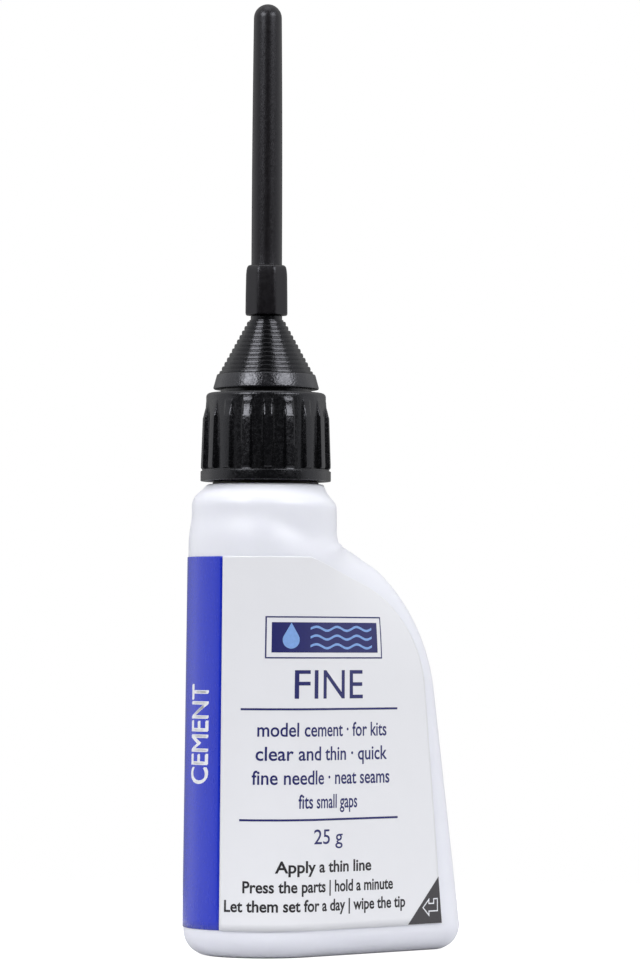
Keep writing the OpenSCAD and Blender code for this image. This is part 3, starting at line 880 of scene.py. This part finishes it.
# ---- Black plastic --------------------------------------------------------
# All the black parts are moulded with a fine spark-eroded grain that glints in the light.
grain = bpy.data.node_groups.new("moulded_grain", "ShaderNodeTree")
grain.interface.new_socket("Vector", in_out="INPUT", socket_type="NodeSocketVector")
for label, value in (("Size", 1.0), ("Rough low", 0.3), ("Rough high", 0.5)):
    grain.interface.new_socket(label, in_out="INPUT", socket_type="NodeSocketFloat").default_value = value
for label in ("Roughness", "Height"):
    grain.interface.new_socket(label, in_out="OUTPUT", socket_type="NodeSocketFloat")
given = grain.nodes.new("NodeGroupInput")
result = grain.nodes.new("NodeGroupOutput")
pits = grain.nodes.new("ShaderNodeTexNoise")
pits.inputs["Scale"].default_value = 2600
pits.inputs["Detail"].default_value = 4
pits.inputs["Roughness"].default_value = 0.65
fine = grain.nodes.new("ShaderNodeTexVoronoi")
fine.inputs["Scale"].default_value = 4200
scaled = grain.nodes.new("ShaderNodeVectorMath")
scaled.operation = "SCALE"
spread = grain.nodes.new("ShaderNodeMapRange")
spread.inputs["From Min"].default_value = 0.35
spread.inputs["From Max"].default_value = 0.65
blend_height = grain.nodes.new("ShaderNodeMath")
blend_height.operation = "MULTIPLY_ADD"
blend_height.inputs[1].default_value = 0.5
join(given, "Vector", scaled, 0)
join(given, "Size", scaled, "Scale")
join(scaled, "Vector", pits, "Vector")
join(scaled, "Vector", fine, "Vector")
join(pits, "Fac", spread, "Value")
join(given, "Rough low", spread, "To Min")
join(given, "Rough high", spread, "To Max")
join(fine, "Distance", blend_height, 0)
join(pits, "Fac", blend_height, 2)
join(spread, "Result", result, "Roughness")
join(blend_height, "Value", result, "Height")


def black_plastic(name, colour, size, low, high, depth, strength, ior=1.49):
    """Black moulded plastic with the shared grain at its own size and gloss."""
    material, tree, shader = new_material(name, IOR=ior, Specular_Tint=(0.90, 0.91, 1.0, 1))
    shader.inputs["Base Color"].default_value = (*colour, 1)
    spot = tree.nodes.new("ShaderNodeTexCoord")
    texture = tree.nodes.new("ShaderNodeGroup")
    texture.node_tree = grain
    texture.inputs["Size"].default_value = size
    texture.inputs["Rough low"].default_value = low
    texture.inputs["Rough high"].default_value = high
    cloud = tree.nodes.new("ShaderNodeTexNoise")
    cloud.inputs["Scale"].default_value = 240
    mix = tree.nodes.new("ShaderNodeMix")
    mix.data_type = "RGBA"
    mix.inputs["A"].default_value = (colour[0] * 0.8, colour[1] * 0.8, colour[2] * 0.8, 1)
    mix.inputs["B"].default_value = (colour[0] * 1.25, colour[1] * 1.25, colour[2] * 1.25, 1)
    bump = tree.nodes.new("ShaderNodeBump")
    bump.inputs["Distance"].default_value = depth
    bump.inputs["Strength"].default_value = strength
    join(spot, "Object", texture, "Vector")
    join(spot, "Object", cloud, "Vector")
    join(cloud, "Fac", mix, "Factor")
    join(mix, "Result", shader, "Base Color")
    join(texture, "Roughness", shader, "Roughness")
    join(texture, "Height", bump, "Height")
    join(bump, "Normal", shader, "Normal")
    return material


# ---- Nozzle ---------------------------------------------------------------
# One moulding: a plug for the neck, a snap flange, a smooth band, twelve stepped rings on a
# cone, and a spigot that grips the needle.
def spun_mesh(path, steps=128):
    """A closed solid of revolution about the neck's axis; the path starts and ends on it or meets itself."""
    bm = bmesh.new()
    verts = [bm.verts.new((neck_x + p[0], 0, p[1])) for p in path]
    edges = [bm.edges.new(pair) for pair in zip(verts, verts[1:])]
    bmesh.ops.spin(bm, geom=verts + edges, cent=(neck_x, 0, 0), axis=(0, 0, 1), dvec=(0, 0, 0),
                   angle=2 * pi, steps=steps, use_merge=True, use_duplicate=False)
    bmesh.ops.remove_doubles(bm, verts=bm.verts, dist=1e-7)
    bmesh.ops.recalc_face_normals(bm, faces=bm.faces)
    return bm


washer_low, washer_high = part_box("seal_washer")
sleeve_low, sleeve_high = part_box("needle_sleeve")
flange_z = washer_high.z
band_z = collar_high.z + 0.52 * mm
band_r = 7.7 * mm
band_h = 2.23 * mm
band_draft = 0.6 * mm
cone_z = band_z + band_h
cone_h = 7.85 * mm
cone_top = cone_z + cone_h
cone_foot_r = 6.8 * mm
cone_top_r = 2.85 * mm
cone_rings = 12
groove_depth = 0.38 * mm
plug_r = 4.92 * mm
flange_r = 7.0 * mm
throat_r = 6.57 * mm
plug_z = flange_z - 3.8 * mm
spigot_r = 1.65 * mm
spigot_top = sleeve_low.z + 6.2 * mm
needle_r = (needle_high.x - needle_low.x) / 2

path = rounded(
    [(plug_r - 1.0 * mm, plug_z), (plug_r - 0.35 * mm, plug_z), (plug_r, plug_z + 0.8 * mm),
     (plug_r, flange_z), (flange_r, flange_z), (flange_r, flange_z + 0.6 * mm),
     (flange_r - 0.15 * mm, flange_z + 1.0 * mm), (throat_r, flange_z + 1.0 * mm), (throat_r, band_z),
     (band_r, band_z), (band_r - band_draft, band_z + band_h - 0.05 * mm),
     (cone_foot_r + 0.05 * mm, band_z + band_h - 0.05 * mm)],
    [0.1 * mm, 0.1 * mm, 0, 0.08 * mm, 0.1 * mm, 0.05 * mm, 0, 0, 0.22 * mm, 0.18 * mm])
for i in range(cone_rings):
    pitch = cone_h / cone_rings
    z = cone_z + i * pitch
    r = cone_foot_r + (cone_top_r - cone_foot_r) * i / (cone_rings - 1)
    step = rounded([(r - 0.02 * mm, z - 0.02 * mm), (r, z + 0.02 * mm), (r - 0.08 * mm, z + pitch * 0.58),
                    (r - groove_depth, z + pitch * 0.66), (r - groove_depth - 0.02 * mm, z + pitch * 0.97)],
                   [0.02 * mm, 0.09 * mm, 0.05 * mm], 3)
    path += step
path += rounded([(cone_top_r - 0.57 * mm, cone_top), (cone_top_r - 0.57 * mm, sleeve_low.z - 0.1 * mm),
                 (spigot_r, sleeve_low.z - 0.1 * mm), (spigot_r, spigot_top - 0.4 * mm),
                 (spigot_r - 0.3 * mm, spigot_top), (needle_r, spigot_top)],
                [0.1 * mm, 0.1 * mm, 0.15 * mm, 0.1 * mm])
inner_top = cone_top - 1.6 * mm
path += rounded([(needle_r, inner_top), (needle_r + 0.4 * mm, inner_top), (3.97 * mm, cone_z),
                 (plug_r - 1.0 * mm, flange_z + 1.0 * mm), (plug_r - 1.0 * mm, plug_z)], 0.2 * mm)
nozzle_mesh = spun_mesh(path)
# The smooth band has a coarser and brighter grain than the cone
nozzle_paint = black_plastic(
    "nozzle_polypropylene", (0.002, 0.002, 0.0025), 1.0, 0.15, 0.28, 0.03 * mm, 0.4, 1.42)
band_paint = black_plastic(
    "nozzle_band_grained", (0.002, 0.002, 0.003), 0.7, 0.20, 0.34, 0.05 * mm, 0.6, 1.62)
nozzle = make_piece(nozzle_mesh, "ringed_nozzle", "nozzle",
                    [nozzle_paint, band_paint], sharp=42)
paint_between(nozzle, band_r - band_draft - 0.3 * mm, band_r + 0.1 * mm,
              band_z - 0.1 * mm, cone_z - 0.02 * mm)
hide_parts("nozzle")


# ---- Needle and seal ------------------------------------------------------
# A drawn stainless tube with a square, lightly deburred tip, pressed into the spigot, and a
# soft grey washer between the neck and the flange.
needle_bore = 0.25 * mm
needle_mesh = spun_mesh(rounded(
    [(needle_bore, needle_low.z), (needle_r, needle_low.z), (needle_r, needle_high.z),
     (needle_bore, needle_high.z), (needle_bore, needle_low.z)], 0.04 * mm, 3), 48)
steel, tree, shader = new_material("drawn_steel", Metallic=1.0)
spot = tree.nodes.new("ShaderNodeTexCoord")
stretch = tree.nodes.new("ShaderNodeMapping")
stretch.inputs["Scale"].default_value = (1.0, 1.0, 0.03)
lines = tree.nodes.new("ShaderNodeTexNoise")
lines.inputs["Scale"].default_value = 9000
shine = tree.nodes.new("ShaderNodeMapRange")
shine.inputs["To Min"].default_value = 0.18
shine.inputs["To Max"].default_value = 0.38
mix = tree.nodes.new("ShaderNodeMix")
mix.data_type = "RGBA"
mix.inputs["A"].default_value = (0.56, 0.57, 0.59, 1)
mix.inputs["B"].default_value = (0.68, 0.69, 0.70, 1)
join(spot, "Object", stretch, "Vector")
join(stretch, "Vector", lines, "Vector")
join(lines, "Fac", shine, "Value")
join(lines, "Fac", mix, "Factor")
join(mix, "Result", shader, "Base Color")
join(shine, "Result", shader, "Roughness")
needle = make_piece(needle_mesh, "steel_needle", "nozzle", [steel], sharp=40)
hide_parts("needle")

washer_r = (washer_high.x - washer_low.x) / 2
washer_bore = 5.0 * mm
washer_mesh = spun_mesh(rounded(
    [(washer_bore, washer_low.z + 0.1 * mm), (washer_bore, washer_low.z), (washer_r, washer_low.z),
     (washer_r, washer_high.z), (washer_bore, washer_high.z), (washer_bore, washer_low.z + 0.1 * mm)],
    0.08 * mm, 3), 96)
seal_paint = black_plastic("seal_elastomer", (0.20, 0.20, 0.21), 0.8, 0.6, 0.8, 0.03 * mm, 0.4)
washer = make_piece(washer_mesh, "soft_seal", "nozzle", [seal_paint], sharp=45)
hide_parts("seal_washer")


# ---- Screw collar ---------------------------------------------------------
# A black screw closure with eighteen upright grip ribs whose tops slope away, a plain foot
# ring, a lip that holds the nozzle down, and a thread inside.
collar_foot = collar_low.z
collar_top = collar_high.z
bore_r = 7.35 * mm
wall_r = 8.65 * mm
rib_count = 18
rib_half = 0.675 * mm
rib_turn = radians(-120 + 2.7)
foot_ring_h = 1.45 * mm
foot_ring_r = (collar_high.y - collar_low.y) / 2
lip_z = collar_top - 1.1 * mm
steps_per_rib = 24


def rib_points():
    """Angles round the collar, crowded at the sides of each rib."""
    pitch_angle = 2 * pi / rib_count
    side_at = rib_half / wall_r
    soft = 0.16 * mm / wall_r
    stops = [-side_at - 2.2 * soft, -side_at - soft, -side_at - 0.3 * soft, -side_at + 0.35 * soft,
             -side_at + soft, -side_at + 1.9 * soft]
    stops = stops + [0.0] + [-s for s in stops[::-1]]
    gap_steps = steps_per_rib - len(stops)
    first = stops[-1]
    last = stops[0] + pitch_angle
    stops += [first + (last - first) * (k + 1) / (gap_steps + 1) for k in range(gap_steps)]
    angles = []
    for n in range(rib_count):
        for stop in stops:
            angles.append((rib_turn + n * pitch_angle + stop, stop))
    return angles, side_at, soft


rib_angles, rib_side, rib_soft = rib_points()


def rib_height(stop):
    """How much of the rib's height stands at this angle from its middle, 0 to 1."""
    return 1 - smooth((abs(stop) - rib_side + rib_soft * 1.1) / (rib_soft * 2.0))


def collar_ring(r, z, out):
    return [Vector((neck_x + (r + out * rib_height(s)) * cos(a), (r + out * rib_height(s)) * sin(a), z))
            for a, s in rib_angles]


rib_foot_z = collar_foot + foot_ring_h + 0.2 * mm
rib_top_z = collar_top - 1.2 * mm
top_round = 1.15 * mm
rows = []
foot_top = collar_foot + foot_ring_h
for p in rounded([(bore_r, collar_foot + 0.3 * mm), (bore_r + 0.2 * mm, collar_foot),
                  (foot_ring_r, collar_foot), (foot_ring_r, foot_top),
                  (foot_ring_r - 0.22 * mm, foot_top), (foot_ring_r - 0.22 * mm, rib_foot_z)],
                 [0.05 * mm, 0.12 * mm, 0.3 * mm, 0.05 * mm], 5):
    rows.append((p.x, p.y, 0.0))
rib_foot_out = foot_ring_r - wall_r
rows += [(wall_r, rib_foot_z + 0.02 * mm, rib_foot_out - 0.24 * mm),
         (wall_r, rib_foot_z + 0.12 * mm, rib_foot_out - 0.10 * mm),
         (wall_r, rib_foot_z + 0.30 * mm, rib_foot_out - 0.01 * mm),
         (wall_r, rib_foot_z + 0.60 * mm, rib_foot_out)]
for k in range(1, 7):
    t = k / 6
    rows.append((wall_r, rib_foot_z + 0.6 * mm + (rib_top_z - 2.5 * mm - rib_foot_z - 0.6 * mm) * t,
                 rib_foot_out - 0.24 * mm * t))
rib_top_out = rib_foot_out - 0.24 * mm
rows += [(wall_r, rib_top_z - 2.35 * mm, rib_top_out - 0.03 * mm),
         (wall_r, rib_top_z - 2.15 * mm, rib_top_out - 0.10 * mm),
         (wall_r, rib_top_z - 1.5 * mm, rib_top_out - 0.25 * mm),
         (wall_r, rib_top_z - 0.9 * mm, 0.11 * mm),
         (wall_r, rib_top_z - 0.5 * mm, 0.08 * mm),
         (wall_r, rib_top_z - 0.15 * mm, 0.06 * mm), (wall_r, rib_top_z, 0.01 * mm)]
for p in rounded([(wall_r, rib_top_z + 0.02 * mm), (wall_r, collar_top), (throat_r + 0.08 * mm, collar_top),
                  (throat_r + 0.08 * mm, lip_z), (bore_r, lip_z), (bore_r, collar_foot + 0.3 * mm)],
                 [top_round, 0.1 * mm, 0.05 * mm, 0.1 * mm], 7):
    rows.append((p.x, p.y, 0.0))
collar_mesh = bmesh.new()
ring = None
for r, z, out in rows:
    places = collar_ring(r, z, out)
    ring = grow(collar_mesh, ring, places) if ring else first_ring(collar_mesh, places)
bmesh.ops.remove_doubles(collar_mesh, verts=collar_mesh.verts, dist=1e-7)
helix_ridge(collar_mesh, bore_r, -thread_out, 1.25, shoulder_z + 3.1 * mm + thread_pitch / 2, thread_pitch)
bmesh.ops.recalc_face_normals(collar_mesh, faces=collar_mesh.faces)
collar_paint = black_plastic("collar_polypropylene", (0.002, 0.002, 0.0025), 0.85, 0.17, 0.34, 0.04 * mm, 0.5)
collar = make_piece(collar_mesh, "ribbed_collar", "collar", [collar_paint], sharp=50)
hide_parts("screw_collar")


# ---- Needle sleeve --------------------------------------------------------
# A long satin tube, closed and domed at its tip, that grows out of an eight-sided grip and
# pushes over the spigot.
grip_z = sleeve_low.z
sleeve_top = sleeve_high.z
grip_h = 7.2 * mm
grip_half = 3.035 * mm
tube_foot_r = 2.22 * mm
tube_tip_r = 2.03 * mm
socket_r = spigot_r + 0.08 * mm
clear_r = 1.05 * mm
clear_top = needle_high.z + 1.5 * mm
grip_points = 96


def grip_ring(half, z, corner_soft):
    """An eight-sided ring with rounded corners; half is half its width across the flats."""
    places = []
    for i in range(grip_points):
        a = 2 * pi * i / grip_points
        off_flat = (a + radians(22.5)) % radians(45) - radians(22.5)
        flat_r = half / cos(off_flat)
        r = flat_r - corner_soft * smooth((abs(off_flat) - radians(14)) / radians(8.5)) ** 2
        turn = a + radians(-120)
        places.append(Vector((neck_x + r * cos(turn), r * sin(turn), z)))
    return places


def grip_ring_round(r, z):
    return [Vector((neck_x + r * cos(2 * pi * i / grip_points + radians(-120)),
                    r * sin(2 * pi * i / grip_points + radians(-120)), z)) for i in range(grip_points)]


sleeve_mesh = bmesh.new()
ring = first_ring(sleeve_mesh, grip_ring_round(clear_r * 0.4, clear_top))
sleeve_mesh.faces.new(ring)
for r, z in ((clear_r, clear_top - 0.6 * mm), (clear_r, spigot_top + 0.9 * mm),
             (socket_r, spigot_top + 0.3 * mm), (socket_r, grip_z + 0.3 * mm),
             (socket_r + 0.2 * mm, grip_z)):
    ring = grow(sleeve_mesh, ring, grip_ring_round(r, z))
for half, z in ((grip_half - 0.30 * mm, 0.0), (grip_half - 0.14 * mm, 0.03 * mm),
                (grip_half - 0.03 * mm, 0.14 * mm), (grip_half, 0.32 * mm),
                (grip_half - 0.02 * mm, 3.0 * mm), (grip_half - 0.07 * mm, grip_h - 1.3 * mm),
                (grip_half - 0.13 * mm, grip_h - 0.72 * mm), (grip_half - 0.22 * mm, grip_h - 0.30 * mm),
                (grip_half - 0.38 * mm, grip_h - 0.08 * mm), (grip_half - 0.55 * mm, grip_h)):
    ring = grow(sleeve_mesh, ring, grip_ring(half, grip_z + z, 0.05 * mm))
for r, z in ((tube_foot_r + 0.12 * mm, grip_z + grip_h),
             (tube_foot_r + 0.02 * mm, grip_z + grip_h + 0.06 * mm)):
    ring = grow(sleeve_mesh, ring, grip_ring_round(r, z))
tube_rows = 14
for k in range(tube_rows + 1):
    t = k / tube_rows
    z = grip_z + grip_h + 0.3 * mm + (sleeve_top - tube_tip_r - grip_z - grip_h - 0.3 * mm) * t
    ring = grow(sleeve_mesh, ring, grip_ring_round(tube_foot_r + (tube_tip_r - tube_foot_r) * t ** 2.2, z))
for k in range(1, 12):
    a = radians(90) * k / 12
    z = sleeve_top - tube_tip_r * (1 - sin(a))
    ring = grow(sleeve_mesh, ring, grip_ring_round(tube_tip_r * cos(a), z))
sleeve_mesh.faces.new(ring)
bmesh.ops.recalc_face_normals(sleeve_mesh, faces=sleeve_mesh.faces)
sleeve_paint = black_plastic(
    "sleeve_polyethylene", (0.004, 0.0032, 0.004), 0.7, 0.30, 0.40, 0.015 * mm, 0.25, 1.44)
sleeve = make_piece(sleeve_mesh, "long_needle_sleeve", "sleeve", [sleeve_paint], sharp=34)
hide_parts("needle_sleeve")
